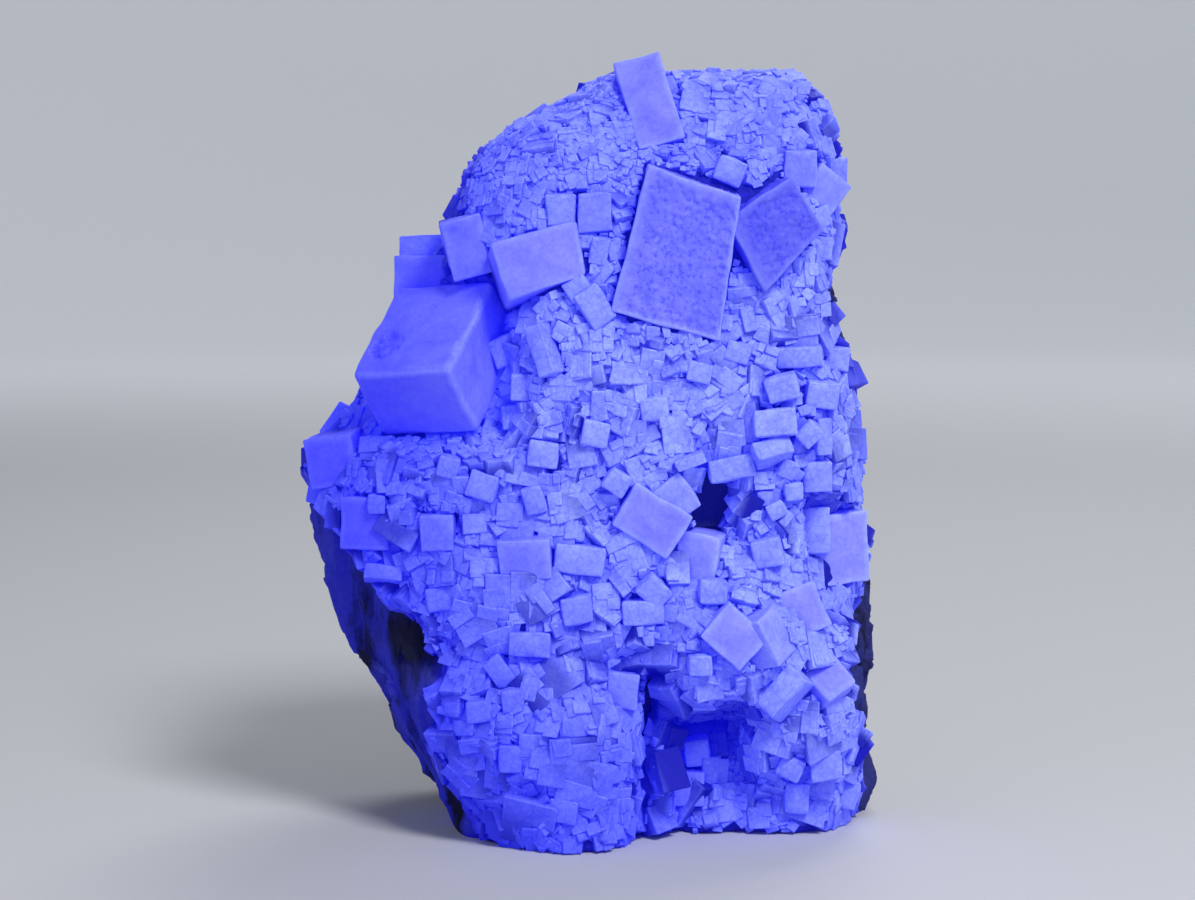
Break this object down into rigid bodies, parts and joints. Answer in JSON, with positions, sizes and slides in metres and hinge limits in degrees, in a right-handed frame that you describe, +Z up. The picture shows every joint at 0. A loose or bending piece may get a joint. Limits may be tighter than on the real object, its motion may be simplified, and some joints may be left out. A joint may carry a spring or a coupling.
{
  "type": "fluorite specimen",
  "caption": "Upright cabinet mineral specimen: a host rock whose face, top and flanks carry a crust of intergrown cubic fluorite crystals.",
  "frame": {"origin": "middle of the specimen's outline, on the plane it rests on", "axes": "+Z up, along the specimen's height; -Y out of the crystal face; +X to the right seen from the face"},
  "size_m": [0.1323, 0.0887, 0.1764],
  "materials": {
    "rock": "rough broken rock, dark under ultraviolet light",
    "fluorite": "milky crystal faces, glowing blue under ultraviolet light"
  },
  "bodies": {
    "root": {"host_rock": "rock", "fluorite_crust": "fluorite"}
  },
  "joints": []
}
